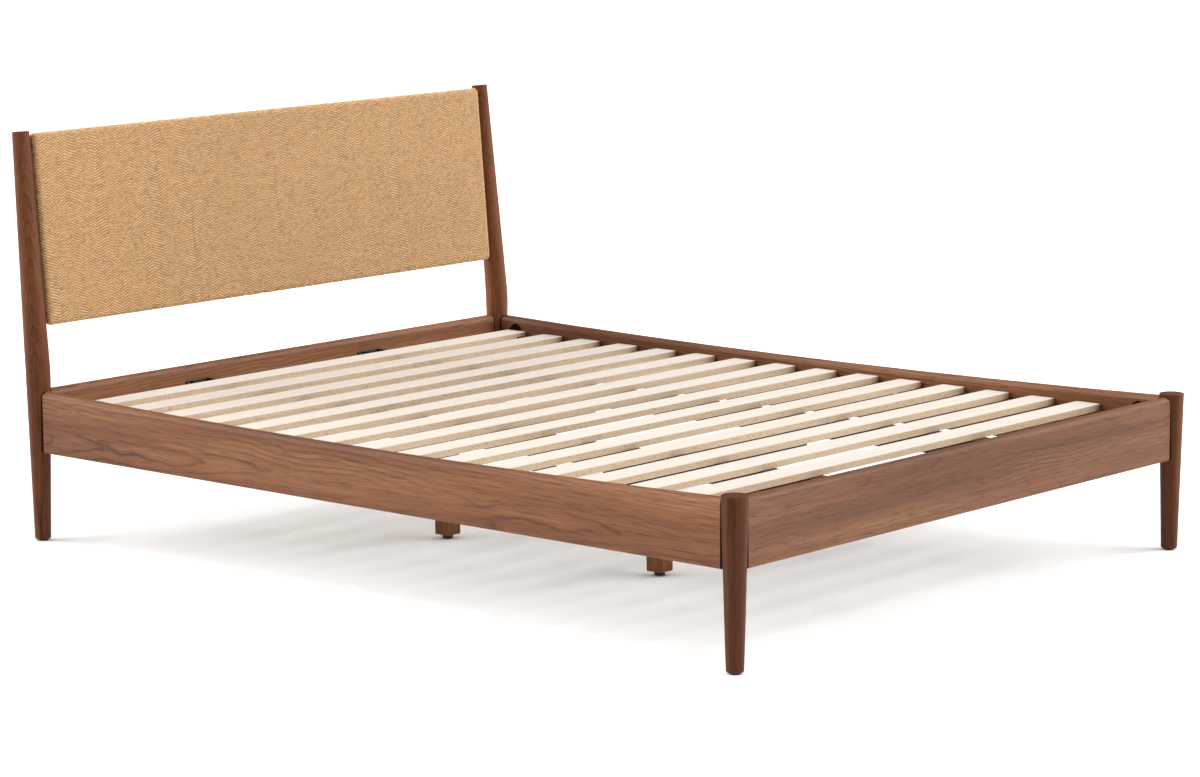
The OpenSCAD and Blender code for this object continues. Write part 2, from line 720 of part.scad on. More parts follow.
// The frame inside the weave, cut to one of its bars
module panel_bar(x0, x1, z0, z1) {
    color(beech) placed() leaning() difference() {
        intersection() {
            panel_slab(weave_t + wood_gap);
            translate([x0, -panel_forward - panel_t, z0]) cube([x1 - x0, 2 * panel_t, z1 - z0]);
        }
        for (side = [-1, 1]) panel_dowel_set(side, hole_gap);
    }
}

bar_low_z = panel_rise + weave_t + panel_bar_w;
bar_high_z = panel_rise + panel_h - weave_t - panel_bar_w;

module panel_top_rail() {
    panel_bar(-panel_w / 2, panel_w / 2, bar_high_z, panel_rise + panel_h);
}

module panel_bottom_rail() {
    panel_bar(-panel_w / 2, panel_w / 2, panel_rise, bar_low_z);
}

module panel_stile(side) {
    edge = side * (panel_w / 2 - weave_t - panel_bar_w);
    far = side * panel_w / 2;
    panel_bar(min(edge, far), max(edge, far), bar_low_z, bar_high_z);
}

module panel_centre_stile() {
    panel_bar(-panel_bar_w / 2, panel_bar_w / 2, bar_low_z, bar_high_z);
}

module woven_cord_panel() {
    color(cord) placed() leaning() difference() {
        panel_slab(0);
        panel_slab(weave_t);
        for (side = [-1, 1]) panel_dowel_set(side, wood_gap);
    }
}

head_post(-1);  // head_post_left
head_post(1);  // head_post_right
foot_post(-1);  // foot_post_left
foot_post(1);  // foot_post_right
end_rail(1);  // head_rail
end_rail(-1);  // foot_rail
side_rail(-1);  // side_rail_left
side_rail(1);  // side_rail_right
slat_ledger(-1);  // slat_ledger_left
slat_ledger(1);  // slat_ledger_right
for (i = [1:slat_count]) slat(i);
support_beam(-1);  // support_beam_left
support_beam(1);  // support_beam_right
cross_bar(1);  // cross_bar_head
cross_bar(-1);  // cross_bar_foot
support_leg(-1, 1);  // support_leg_head_left
support_leg(1, 1);  // support_leg_head_right
support_leg(-1, -1);  // support_leg_foot_left
support_leg(1, -1);  // support_leg_foot_right
leveller(-1, 1);  // leveller_head_left
leveller(1, 1);  // leveller_head_right
leveller(-1, -1);  // leveller_foot_left
leveller(1, -1);  // leveller_foot_right
leveller_inserts();
beam_hanger(-1, 1);  // beam_hanger_head_left
beam_hanger(1, 1);  // beam_hanger_head_right
beam_hanger(-1, -1);  // beam_hanger_foot_left
beam_hanger(1, -1);  // beam_hanger_foot_right
hanger_screws();
ledger_screws();
cross_bar_screws();
leg_bolts();
side_rail_bolts();
half_moon_washers();
bolt_nuts();
post_inserts();
rail_dowels();
panel_top_rail();
panel_bottom_rail();
panel_stile(-1);  // panel_stile_left
panel_stile(1);  // panel_stile_right
panel_centre_stile();
woven_cord_panel();
union() {  // panel_dowels
    color(beech) placed() leaning() for (side = [-1, 1]) panel_dowel_set(side, 0);
}
post_glides();
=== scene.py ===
import bmesh
import bpy
import math
from mathutils import Matrix, Vector


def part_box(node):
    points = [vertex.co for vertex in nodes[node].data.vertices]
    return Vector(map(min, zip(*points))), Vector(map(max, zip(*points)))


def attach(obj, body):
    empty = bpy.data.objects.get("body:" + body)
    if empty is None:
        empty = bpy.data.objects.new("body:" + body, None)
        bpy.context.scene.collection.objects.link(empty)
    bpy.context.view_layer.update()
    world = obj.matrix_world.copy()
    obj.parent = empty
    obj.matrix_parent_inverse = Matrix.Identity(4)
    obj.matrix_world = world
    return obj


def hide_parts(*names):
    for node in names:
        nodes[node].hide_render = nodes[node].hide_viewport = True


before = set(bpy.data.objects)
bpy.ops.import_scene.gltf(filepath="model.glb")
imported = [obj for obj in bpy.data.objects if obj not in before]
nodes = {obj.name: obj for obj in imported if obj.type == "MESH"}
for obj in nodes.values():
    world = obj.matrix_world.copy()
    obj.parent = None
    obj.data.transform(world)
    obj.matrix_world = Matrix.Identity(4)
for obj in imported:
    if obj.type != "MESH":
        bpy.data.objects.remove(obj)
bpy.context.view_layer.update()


# Small helpers for the scene and for node trees
def addToScene(name, data):
    thing = bpy.data.objects.new(name, data)
    bpy.context.scene.collection.objects.link(thing)
    return thing


def newMaterial(name):
    material = bpy.data.materials.new(name)
    material.use_nodes = True
    return material, material.node_tree, material.node_tree.nodes["Principled BSDF"]


def dress(piece, material):  # a CAD piece keeps its mesh and gets one material
    piece.data.materials.clear()
    piece.data.materials.append(material)


def addNode(tree, kind, inputs=None, **settings):
    node = tree.nodes.new(kind)
    for name, value in settings.items():
        setattr(node, name, value)
    for key, value in (inputs or {}).items():
        connect(tree, value, node.inputs[key])
    return node


def connect(tree, value, socket):
    if isinstance(value, bpy.types.NodeSocket):
        tree.links.new(value, socket)
    else:
        socket.default_value = value


def calc(tree, operation, *values):  # one Math node
    return addNode(tree, "ShaderNodeMath", dict(enumerate(values)),
                   operation=operation).outputs[0]


def vectorCalc(tree, operation, *values):  # one Vector Math node
    node = addNode(tree, "ShaderNodeVectorMath", dict(enumerate(values)), operation=operation)
    return node.outputs["Value" if operation == "LENGTH" else "Vector"]


def vector(tree, x, y, z):
    return addNode(tree, "ShaderNodeCombineXYZ", {0: x, 1: y, 2: z}).outputs[0]


def split(tree, place):  # a vector's x, y and z
    return addNode(tree, "ShaderNodeSeparateXYZ", {0: place}).outputs


def ramp(tree, factor, stops):  # stops: (position, grey)
    node = addNode(tree, "ShaderNodeValToRGB", {0: factor})
    points = node.color_ramp.elements
    while len(points) < len(stops):
        points.new(0.5)
    for point, (position, tone) in zip(points, stops):
        point.position = position
        point.color = (tone, tone, tone, 1)
    return node.outputs[0]


def mixed(tree, factor, first, second):  # one Mix node for colours
    node = addNode(tree, "ShaderNodeMix", data_type="RGBA")
    for index, value in zip((0, 6, 7), (factor, first, second)):
        connect(tree, (*value, 1) if isinstance(value, tuple) else value, node.inputs[index])
    return node.outputs[2]


def noiseNode(tree, place, scale, detail, rough):
    return addNode(tree, "ShaderNodeTexNoise", {
        "Vector": place, "Scale": scale, "Detail": detail, "Roughness": rough})


def noise(tree, place, scale, detail=2.0, rough=0.5):
    return noiseNode(tree, place, scale, detail, rough).outputs[0]


# Camera, from the photo's straight edges
photoView = {
    "place": (-6.5579, -5.7665, 1.8037),  # metres
    "yaw": 0.8514,  # radians from +Y towards +X
    "pitch": 0.1638,  # radians down
    "roll": -0.0067,  # radians
    "focal": 3877.88,  # in pixels of a picture as wide as the next value
    "width": 1200,
    "sensor": 36,  # millimetres
    "reach": 200,  # metres
}


def makeCamera(view):
    yaw, pitch, roll = view["yaw"], view["pitch"], view["roll"]
    forward = Vector((math.sin(yaw) * math.cos(pitch), math.cos(yaw) * math.cos(pitch),
                      -math.sin(pitch)))
    right = Vector((math.cos(yaw), -math.sin(yaw), 0))
    up = right.cross(forward)
    side = right * math.cos(roll) + up * math.sin(roll)
    top = up * math.cos(roll) - right * math.sin(roll)
    camera = addToScene("photoCamera", bpy.data.cameras.new("photoCamera"))
    camera.data.sensor_fit = "HORIZONTAL"
    camera.data.sensor_width = view["sensor"]
    camera.data.lens = view["focal"] / view["width"] * view["sensor"]
    camera.data.clip_end = view["reach"]
    turn = Matrix((side, top, -forward)).transposed().to_4x4()
    camera.matrix_world = Matrix.Translation(view["place"]) @ turn
    bpy.context.scene.camera = camera


makeCamera(photoView)
print("camera set")


# Studio: pale surroundings, a large soft light on each side, one above and a pale floor
studio = {
    "sky": 0.22,
    "softness": 56,  # degrees that each light spans
    "lights": {  # power, and the way to the light
        "leftLight": (3.75, (-0.60, 0.80, 0.62)),
        "rightLight": (3.75, (0.71, -0.71, 0.62)),
        "topLight": (1.3, (0, 0, 1)),
    },
    "floorTone": 0.93, "floorRoughness": 0.9,
    "floorSize": 160,  # metres
}


def makeStudio(look):
    scene = bpy.context.scene
    scene.view_settings.view_transform = "Standard"
    world = bpy.data.worlds.new("studioSky")
    world.use_nodes = True
    sky = world.node_tree.nodes["Background"]
    sky.inputs["Color"].default_value = (1, 1, 1, 1)
    sky.inputs["Strength"].default_value = look["sky"]
    scene.world = world
    for name, (power, source) in look["lights"].items():
        sun = bpy.data.lights.new(name, "SUN")
        sun.energy = power
        sun.angle = math.radians(look["softness"])
        addToScene(name, sun).matrix_world = (
            Vector(source).to_track_quat("Z", "Y").to_matrix().to_4x4())
    half = look["floorSize"] / 2
    mesh = bpy.data.meshes.new("studioFloor")
    mesh.from_pydata([(-half, -half, 0), (half, -half, 0), (half, half, 0), (-half, half, 0)],
                     [], [(0, 1, 2, 3)])
    material, tree, shader = newMaterial("studioFloor")
    tone = look["floorTone"]
    shader.inputs["Base Color"].default_value = (tone, tone, tone, 1)
    shader.inputs["Roughness"].default_value = look["floorRoughness"]
    mesh.materials.append(material)
    addToScene("studioFloor", mesh)


makeStudio(studio)
print("studio set")


# Woods: one grain group for each kind of wood, and one material for each board.
# early and late are the colours of a ring's pale and dark part, and sap is the palest wood
walnut = {
    "name": "walnut",
    "early": (0.238, 0.091, 0.035), "late": (0.072, 0.022, 0.008), "sap": (0.305, 0.130, 0.054),
    "pore": (0.035, 0.012, 0.006), "poreShare": 0.50,
    "lines": 0.85,  # strength of the dark lines
    "rings": 115.0,  # to the metre
    "tilt": 0.026,  # slope of the pith
    "waver": 0.046, "pith": (0.050, 0.016),  # metres that rings stray, and metres to the pith
    "roughness": 0.50, "relief": 0.12, "gloss": 0.20,
    "gap": (0.012, 0.004, 0.002),  # painted shade: the dark colour painted where a rail meets a post
    "joint": (0.0042, 0.0020),  # width of that painted shade at a rail's head or left end, and at the other end
}
# Copies of walnut at other tones stand in for light and shade. The foot rail's copy is darker:
# painted shade
walnutFoot = dict(
    walnut, name="walnutFoot", joint=(0.0014, 0.0022),
    early=(0.196, 0.079, 0.034), late=(0.058, 0.020, 0.008), sap=(0.250, 0.113, 0.051))
# the near side rail's copy is a little darker: painted shade
walnutNear = dict(
    walnut, name="walnutNear",
    early=(0.222, 0.085, 0.033), late=(0.067, 0.020, 0.007), sap=(0.284, 0.121, 0.050))
# the posts' copy is much darker than the rails: painted shade on the round posts
walnutPost = dict(
    walnut, name="walnutPost", rings=170.0, waver=0.024, gloss=0.12, joint=None,
    early=(0.132, 0.040, 0.012), late=(0.040, 0.010, 0.003), sap=(0.190, 0.064, 0.021))
# the foot posts' copy is darker again: painted shade
walnutFootPost = dict(
    walnutPost, name="walnutFootPost",
    early=(0.119, 0.036, 0.011), late=(0.036, 0.009, 0.003), sap=(0.171, 0.058, 0.019))
# the right head post's copy is lighter than the other posts: painted light
walnutHead = dict(
    walnutPost, name="walnutHead",
    early=(0.190, 0.060, 0.020), late=(0.060, 0.017, 0.006), sap=(0.250, 0.087, 0.032))
# the legs' and ledgers' copy is lighter than the posts': painted light on pieces that stand in
# the shade under the bed
walnutLeg = dict(
    walnutPost, name="walnutLeg",
    early=(0.215, 0.082, 0.028), late=(0.090, 0.030, 0.010), sap=(0.260, 0.105, 0.040))
# near-black wood for the beams, bars and panel dowels: painted shade under the slats and in the
# gap beside the panel
stained = dict(
    walnutPost, name="stained",
    early=(0.058, 0.025, 0.014), late=(0.027, 0.011, 0.006), sap=(0.073, 0.032, 0.018))
beech = {
    "name": "beech",
    "early": (0.46, 0.32, 0.20), "late": (0.37, 0.24, 0.14), "sap": (0.51, 0.37, 0.24),
    "pore": (0.26, 0.15, 0.085), "poreShare": 0.35, "lines": 0.35,
    "rings": 220.0, "tilt": 0.02, "waver": 0.010, "pith": (0.10, 0.05),
    "roughness": 0.55, "relief": 0.08, "gloss": 0.30, "joint": None,
}
figure = {  # the pattern that all solid woods share
    # noises: cells to the metre across and along the grain, detail, roughness
    "drift": (9.0, 2.4, 3.5, 0.5), "fade": (14, 1.6, 2.0, 0.5), "streak": (60, 1.3, 4.0, 0.6),
    "vein": (240, 5.0, 3.0, 0.65), "fibre": (420, 9, 3.0, 0.6), "pores": (620, 20, 1.0, 0.5),
    "patch": (11, 0.8, 2.0, 0.5),
    # how their values turn into greys: (value, grey)
    "fadeStops": [(0.38, 0.15), (0.62, 1.0)], "streakStops": [(0.38, 0.0), (0.64, 1.0)],
    "veinStops": [(0.50, 0.0), (0.66, 1.0)], "poresStops": [(0.34, 1.0), (0.44, 0.0)],
    "paleStops": [(0.47, 0.0), (0.62, 1.0)], "darkStops": [(0.30, 1.0), (0.50, 0.0)],
    "season": [(0, 0.10), (0.45, 0.0), (0.76, 0.28), (0.91, 1.0), (1, 0.10)],  # over one ring
    "darkShare": 0.45, "streakShare": 0.30, "veinShare": 0.30, "fibreShare": 0.30,
}
surface = {  # what fibres do to the finish of every wood
    "roughSpread": 0.16, "roughLess": 0.06, "fibreHeight": 0.5, "bumpDepth": 0.0006,
    "coatRoughness": 0.35,
}


def newGrain(name):  # takes a place with the grain along Z; gives colour, roughness, height
    tree = bpy.data.node_groups.new(name, "ShaderNodeTree")
    tree.interface.new_socket("Place", in_out="INPUT", socket_type="NodeSocketVector")
    for label, kind in (("Color", "NodeSocketColor"), ("Roughness", "NodeSocketFloat"),
                        ("Height", "NodeSocketFloat")):
        tree.interface.new_socket(label, in_out="OUTPUT", socket_type=kind)
    return tree, addNode(tree, "NodeGroupInput").outputs[0]


def grained(tree, place, look):  # noise drawn out along the grain
    across, along, detail, rough = look
    stretched = vectorCalc(tree, "MULTIPLY", place, (across, across, along))
    return noiseNode(tree, stretched, 1.0, detail, rough).outputs


def masked(tree, place, look, kind):  # such a noise turned into greys
    return ramp(tree, grained(tree, place, look[kind])[0], look[kind + "Stops"])


def endGrain(tree, wood, color, fibre, dips):
    rough = calc(tree, "MULTIPLY_ADD", fibre, surface["roughSpread"],
                 wood["roughness"] - surface["roughLess"])
    height = calc(tree, "SUBTRACT", calc(tree, "MULTIPLY", fibre, surface["fibreHeight"]), dips)
    addNode(tree, "NodeGroupOutput", {0: color, 1: rough, 2: height})
    return tree


def makeGrain(name, wood):  # rings round a wavering pith, streaks, veins, fibres and pores
    tree, place = newGrain(name)
    drift = grained(tree, place, figure["drift"])[1]
    bend = vectorCalc(tree, "MULTIPLY", vectorCalc(tree, "SUBTRACT", drift, (0.5,) * 3),
                      (wood["waver"],) * 3)
    parts = split(tree, vectorCalc(tree, "ADD", place, bend))
    x = calc(tree, "ADD", parts[0], wood["pith"][0])
    y = calc(tree, "ADD", parts[1], wood["pith"][1])
    along = calc(tree, "MULTIPLY", parts[2], wood["tilt"])
    radius = calc(tree, "SQRT", calc(tree, "ADD", calc(tree, "MULTIPLY", x, x),
                                     calc(tree, "MULTIPLY", y, y)))
    ring = calc(tree, "FRACT", calc(tree, "MULTIPLY", calc(tree, "ADD", radius, along),
                                    wood["rings"]))
    season = ramp(tree, ring, figure["season"])
    fade, streak, vein, pores = (masked(tree, place, figure, kind)
                                 for kind in ("fade", "streak", "vein", "pores"))
    fibre, patch = (grained(tree, place, figure[kind])[0] for kind in ("fibre", "patch"))
    pale = ramp(tree, patch, figure["paleStops"])
    dark = ramp(tree, patch, figure["darkStops"])
    lines = calc(tree, "MULTIPLY", season, fade)
    base = mixed(tree, pale, wood["early"], wood["sap"])
    for cover, share in ((dark, figure["darkShare"]), (streak, figure["streakShare"]),
                         (vein, figure["veinShare"]), (lines, wood["lines"]),
                         (fibre, figure["fibreShare"])):
        base = mixed(tree, calc(tree, "MULTIPLY", cover, share), base, wood["late"])
    base = mixed(tree, calc(tree, "MULTIPLY", pores, wood["poreShare"]), base, wood["pore"])
    return endGrain(tree, wood, base, fibre, pores)


# The slats are laminated: pale face veneers over darker layers, which show on their edges. The
# darker layers also carry painted shade on the slats' fronts
laminate = {
    "name": "laminate",
    "face": (0.580, 0.532, 0.478), "faceVein": (0.520, 0.470, 0.405),
    "tint": (0.580, 0.515, 0.450),
    # the core layers' colour: partly their own tan, partly painted shade on the slats' fronts
    "core": (0.53, 0.40, 0.275), "coreVein": (0.29, 0.185, 0.105),
    "faceFrom": 0.0064,  # metres from the middle of the thickness
    "layer": 0.0022,  # metres thick
    # noises and their greys, as in figure
    "fibre": (520, 12, 3.0, 0.5), "vein": (60, 1.5, 3.0, 0.5),
    "fleck": (420, 130, 2.0, 0.5), "patch": (3.0, 0.35, 2.0, 0.5),
    "veinStops": [(0.35, 0.0), (0.70, 1.0)], "fleckStops": [(0.33, 1.0), (0.46, 0.0)],
    "patchStops": [(0.40, 0.0), (0.62, 1.0)],
    "glue": [(0.0, 1.0), (0.10, 0.0), (0.90, 0.0), (1.0, 1.0)],  # over one layer
    "skin": [(0.98, 0.0), (1.0, 1.0)],  # from the middle out to where the face begins
    "faceVeinShare": 0.50, "coreVeinShare": 0.30, "fibreShare": 0.30, "fleckShare": 0.55,
    "glueShare": 0.45,
    "roughness": 0.60, "relief": 0.12, "gloss": 0.30, "joint": None,
}


def makeLaminate(name, wood):  # the thickness is along X
    tree, place = newGrain(name)
    depth = calc(tree, "ABSOLUTE", split(tree, place)[0])
    layer = calc(tree, "FRACT", calc(tree, "DIVIDE", depth, wood["layer"]))
    glue = ramp(tree, layer, wood["glue"])
    fibre = grained(tree, place, wood["fibre"])[0]
    vein, fleck, patch = (masked(tree, place, wood, kind)
                          for kind in ("vein", "fleck", "patch"))
    face = mixed(tree, calc(tree, "MULTIPLY_ADD", vein, wood["faceVeinShare"],
                            calc(tree, "MULTIPLY", fibre, wood["fibreShare"])),
                 mixed(tree, patch, wood["face"], wood["tint"]), wood["faceVein"])
    core = mixed(tree, calc(tree, "MULTIPLY_ADD", fleck, wood["fleckShare"],
                            calc(tree, "MULTIPLY", vein, wood["coreVeinShare"])),
                 wood["core"], wood["coreVein"])
    core = mixed(tree, calc(tree, "MULTIPLY", glue, wood["glueShare"]), core, wood["coreVein"])
    skin = ramp(tree, calc(tree, "DIVIDE", depth, wood["faceFrom"]), wood["skin"])
    dips = calc(tree, "MULTIPLY", fleck, calc(tree, "SUBTRACT", 1.0, skin))
    return endGrain(tree, wood, mixed(tree, skin, core, face), fibre, dips)


roundPost = {  # a post at the rails' height
    "radius": 0.028,
    "beyond": 0.020,  # from a rail's end to the post's axis
    "gapStops": [(0.70, 1.0), (1.0, 0.0)],  # over the painted shade's width
}


def jointGap(tree, inBoard, axis, half, widths):  # 1 where shade is painted into the gap where a rail meets a post
    parts = split(tree, inBoard)
    across = parts[1 if axis == "x" else 0]
    along = calc(tree, "SUBTRACT", half + roundPost["beyond"], calc(tree, "ABSOLUTE", parts[2]))
    away = vectorCalc(tree, "LENGTH", vector(tree, across, along, 0.0))
    first, second = widths
    wide = calc(tree, "MULTIPLY_ADD", calc(tree, "GREATER_THAN", parts[2], 0.0),
                second - first, first)
    edge = calc(tree, "DIVIDE", calc(tree, "SUBTRACT", away, roundPost["radius"]), wide)
    return ramp(tree, edge, roundPost["gapStops"])


def boardMaterial(name, count, grain):
    wood, axis, coat = boardOf(name)
    low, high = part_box(name)
    material, tree, shader = newMaterial("wood_" + name)
    turn = {"x": (0, math.pi / 2, 0), "y": (math.pi / 2, 0, 0), "z": (0, 0, 0)}[axis]
    objectPlace = addNode(tree, "ShaderNodeTexCoord").outputs["Object"]
    inBoard = addNode(tree, "ShaderNodeMapping", {
        "Vector": objectPlace, "Location": tuple((low + high) / 2), "Rotation": turn},
        vector_type="TEXTURE").outputs[0]
    inLog = vectorCalc(tree, "ADD", inBoard, logPlace(count, wood is laminate))
    group = addNode(tree, "ShaderNodeGroup", {0: inLog}, node_tree=grain)
    color, gloss = group.outputs[0], wood["gloss"]
    # paint shade into the gap where the rail meets a post, with no gloss there
    if wood["joint"]:
        half = (high - low)["xyz".index(axis)] / 2
        gap = jointGap(tree, inBoard, axis, half, wood["joint"])
        color = mixed(tree, gap, color, wood["gap"])
        gloss = calc(tree, "MULTIPLY_ADD", gap, -wood["gloss"], wood["gloss"])
    bump = addNode(tree, "ShaderNodeBump", {
        "Strength": wood["relief"], "Distance": surface["bumpDepth"],
        "Height": group.outputs[2]})
    connect(tree, color, shader.inputs["Base Color"])
    connect(tree, group.outputs[1], shader.inputs["Roughness"])
    connect(tree, gloss, shader.inputs["Specular IOR Level"])
    connect(tree, bump.outputs[0], shader.inputs["Normal"])
    shader.inputs["Coat Weight"].default_value = coat
    shader.inputs["Coat Roughness"].default_value = surface["coatRoughness"]
    return material


boards = {  # start of a node's name: wood, way of the grain, coat of lacquer
    "head_post": (walnutPost, "z", 0.04), "foot_post": (walnutFootPost, "z", 0.04),
    "head_post_right": (walnutHead, "z", 0.04),
    "support_leg": (walnutLeg, "z", 0.05), "slat_ledger": (walnutLeg, "y", 0.0),
    "head_rail": (walnut, "x", 0.02), "foot_rail": (walnutFoot, "x", 0.02),
    "side_rail_left": (walnutNear, "y", 0.02), "side_rail_right": (walnut, "y", 0.02),
    "slat_": (laminate, "x", 0.0),
    "support_beam": (stained, "y", 0.0), "cross_bar_": (stained, "x", 0.0),
    "panel_stile": (beech, "z", 0.0), "panel_centre": (beech, "z", 0.0),
    "panel_top": (beech, "x", 0.0), "panel_bottom": (beech, "x", 0.0),
    "panel_dowels": (stained, "x", 0.0), "rail_dowels": (beech, "x", 0.0),
}
metalNodes = ("hanger_screws", "ledger_screws", "cross_bar_screws", "leg_bolts",
              "side_rail_bolts", "half_moon_washers", "bolt_nuts", "post_inserts",
              "leveller_inserts")
sawing = {  # metres from one board's place in the log to the next, and boards before a repeat
    "across": (0.013, 5), "through": (0.009, 7), "along": 0.67,
}


def boardOf(name):
    fits = [start for start in boards if name.startswith(start)]
    return boards[max(fits, key=len)] if fits and name not in metalNodes else None


def logPlace(count, isLaminate):  # each board is cut from its own place
    (across, acrossRow), (through, throughRow) = sawing["across"], sawing["through"]
    return (0.0 if isLaminate else across * (count % acrossRow), through * (count % throughRow),
            sawing["along"] * count)


def dressWood():
    grains = {}
    names = [name for name in sorted(nodes) if boardOf(name)]
    for count, name in enumerate(names, 1):
        wood = boardOf(name)[0]
        if wood["name"] not in grains:
            make = makeLaminate if wood is laminate else makeGrain
            grains[wood["name"]] = make("grain_" + wood["name"], wood)
        dress(nodes[name], boardMaterial(name, count, grains[wood["name"]]))
    print("wood:", len(names), "boards")


dressWood()


# Metal and plastic
zinc = {"tone": (0.50, 0.51, 0.52), "roughness": 0.32, "metal": 1.0, "grit": 900, "relief": 0.10}
blackSteel = {"tone": (0.018, 0.018, 0.019), "roughness": 0.45, "metal": 0.0, "grit": 1400,
              "relief": 0.22}
blackPlastic = {"tone": (0.014, 0.014, 0.015), "roughness": 0.50, "metal": 0.0, "grit": 2200,
                "relief": 0.15}
wear = {
    "patches": (35, 3.0),  # noise: cells to the metre, detail
    "darker": 0.7, "roughSpread": 0.22, "roughLess": 0.1, "bumpDepth": 0.0002,
}


def hardMaterial(name, look):
    material, tree, shader = newMaterial(name)
    place = addNode(tree, "ShaderNodeTexCoord").outputs["Object"]
    grit = noise(tree, place, look["grit"])
    patch = noise(tree, place, *wear["patches"])
    darker = tuple(wear["darker"] * tone for tone in look["tone"])
    rough = calc(tree, "MULTIPLY_ADD", patch, wear["roughSpread"],
                 look["roughness"] - wear["roughLess"])
    bump = addNode(tree, "ShaderNodeBump", {
        "Strength": look["relief"], "Distance": wear["bumpDepth"], "Height": grit})
    connect(tree, mixed(tree, patch, look["tone"], darker), shader.inputs["Base Color"])
    connect(tree, rough, shader.inputs["Roughness"])
    connect(tree, bump.outputs[0], shader.inputs["Normal"])
    shader.inputs["Metallic"].default_value = look["metal"]
    return material


def dressHardware():
    metal = hardMaterial("zinc", zinc)
    steel = hardMaterial("blackSteel", blackSteel)
    plastic = hardMaterial("blackPlastic", blackPlastic)
    for name, piece in nodes.items():
        if name in metalNodes:
            dress(piece, metal)
        elif name.startswith("beam_hanger"):
            dress(piece, steel)
        elif name.startswith("leveller") or name == "post_glides":
            dress(piece, plastic)
    print("hardware dressed")


dressHardware()


# Woven cord over the headboard's frame: a herringbone twill of fine cord, wound round the panel.
# It is laid out flat, with X across the panel and Y round it, and then wrapped on the slab.
weave = {
    # the CAD panel, with fully round edges, in a frame that leans from its foot
    "width": 1.498, "height": 0.443, "edgeRadius": 0.013,
    "lean": math.radians(4.8), "foot": (0.0, 1.01686, 0.41984),
    "forward": 0.007, "rise": 0.0785,  # from that foot to the panel's lower edge
    "edgeSteps": 8,  # faces to a quarter turn of the base slab's edge
    # the twill, in columns of about 3.0 mm and rows of about 1.6 mm
    "columns": 500, "rows": 556,
    "endRoom": 0.6,  # columns left for the cords' ends
    "repeat": 4.0, "over": 2.0,  # rows in one repeat, and rows that pass over
    "chevron": 16.0, "longLeg": 10.0,  # columns in a whole zigzag and in its falling leg
    "wander": 5.0,  # how far the turns stray, in columns
    "wanderCells": (0.04, 0.004),  # its noise: cells to a column and to a row
    "wanderGain": 4.0,  # the noise seldom fills its range, so it is spread
    # one cord where it lies on top
    "crest": 0.0009, "valley": -0.0012,  # metres from the slab's surface
    "under": 0.0001,  # metres from a valley out to the base slab
    "dive": 0.55, "swelling": 1.12,  # columns added to its length, and its width in rows
    "endPower": 2.6, "flankPower": 2.0,  # how square its arch is, along and across
    "cordPoints": (4, 3),  # along and across
    "seed": 4.7, "shadeSeed": 7,
    "bands": 8,  # pieces that the cords are shared out over
}
cordLook = {
    # dark and under colour the base slab between the cords as painted shade of the recesses; dark
    # is also the darker cords' colour
    "light": (0.737, 0.464, 0.216), "dark": (0.307, 0.165, 0.063), "under": (0.13, 0.062, 0.023),
    "patches": (3.0, 3.0, 0.6),  # noise: cells to the metre, detail, roughness
    "slubs": (210, 210, 6), "fibres": 2600,  # cells to the metre
    "patchShare": 0.16, "slubShare": 0.16, "shadeShare": 0.80, "paler": 0.12,
    "layTurns": 5.0, "layHeight": 0.6,  # twist of the yarn along one cord
    "relief": 0.5, "bumpDepth": 0.0003, "roughness": 0.62, "roughSpread": 0.2,
    "sheen": 0.15, "sheenRoughness": 0.5,
}


def newGeometryTree(name, inputs, output):  # inputs: labels by kind
    tree = bpy.data.node_groups.new(name, "GeometryNodeTree")
    for kind, labels in inputs:
        for label in labels:
            tree.interface.new_socket(label, in_out="INPUT", socket_type="NodeSocket" + kind)
    tree.interface.new_socket(output[0], in_out="OUTPUT", socket_type="NodeSocket" + output[1])
    return tree, addNode(tree, "NodeGroupInput").outputs


def makeTwillRule(settings):  # 1 where a cord passes over, 0 where it dives under
    tree, given = newGeometryTree("twillRule", [
        ("Float", ("Column", "Row", "Chevron", "Long Leg", "Wander", "Seed"))], ("Over", "Float"))
    toColumn, toRow = settings["wanderCells"]
    spot = vector(tree, calc(tree, "MULTIPLY", given["Column"], toColumn),
                  calc(tree, "MULTIPLY", given["Row"], toRow), given["Seed"])
    stray = calc(tree, "ROUND", calc(
        tree, "MULTIPLY", calc(tree, "SUBTRACT", noise(tree, spot, 1.0, 1.0), 0.5),
        calc(tree, "MULTIPLY", given["Wander"], settings["wanderGain"])))
    turn = calc(tree, "FLOORED_MODULO", calc(tree, "ADD", given["Column"], stray),
                given["Chevron"])
    zigzag = calc(tree, "MINIMUM", turn, calc(
        tree, "SUBTRACT", calc(tree, "MULTIPLY", given["Long Leg"], 2.0), turn))
    step = calc(tree, "FLOORED_MODULO", calc(tree, "ADD", given["Row"], zigzag),
                settings["repeat"])
    addNode(tree, "NodeGroupOutput", {0: calc(tree, "LESS_THAN", step, settings["over"])})
    return tree


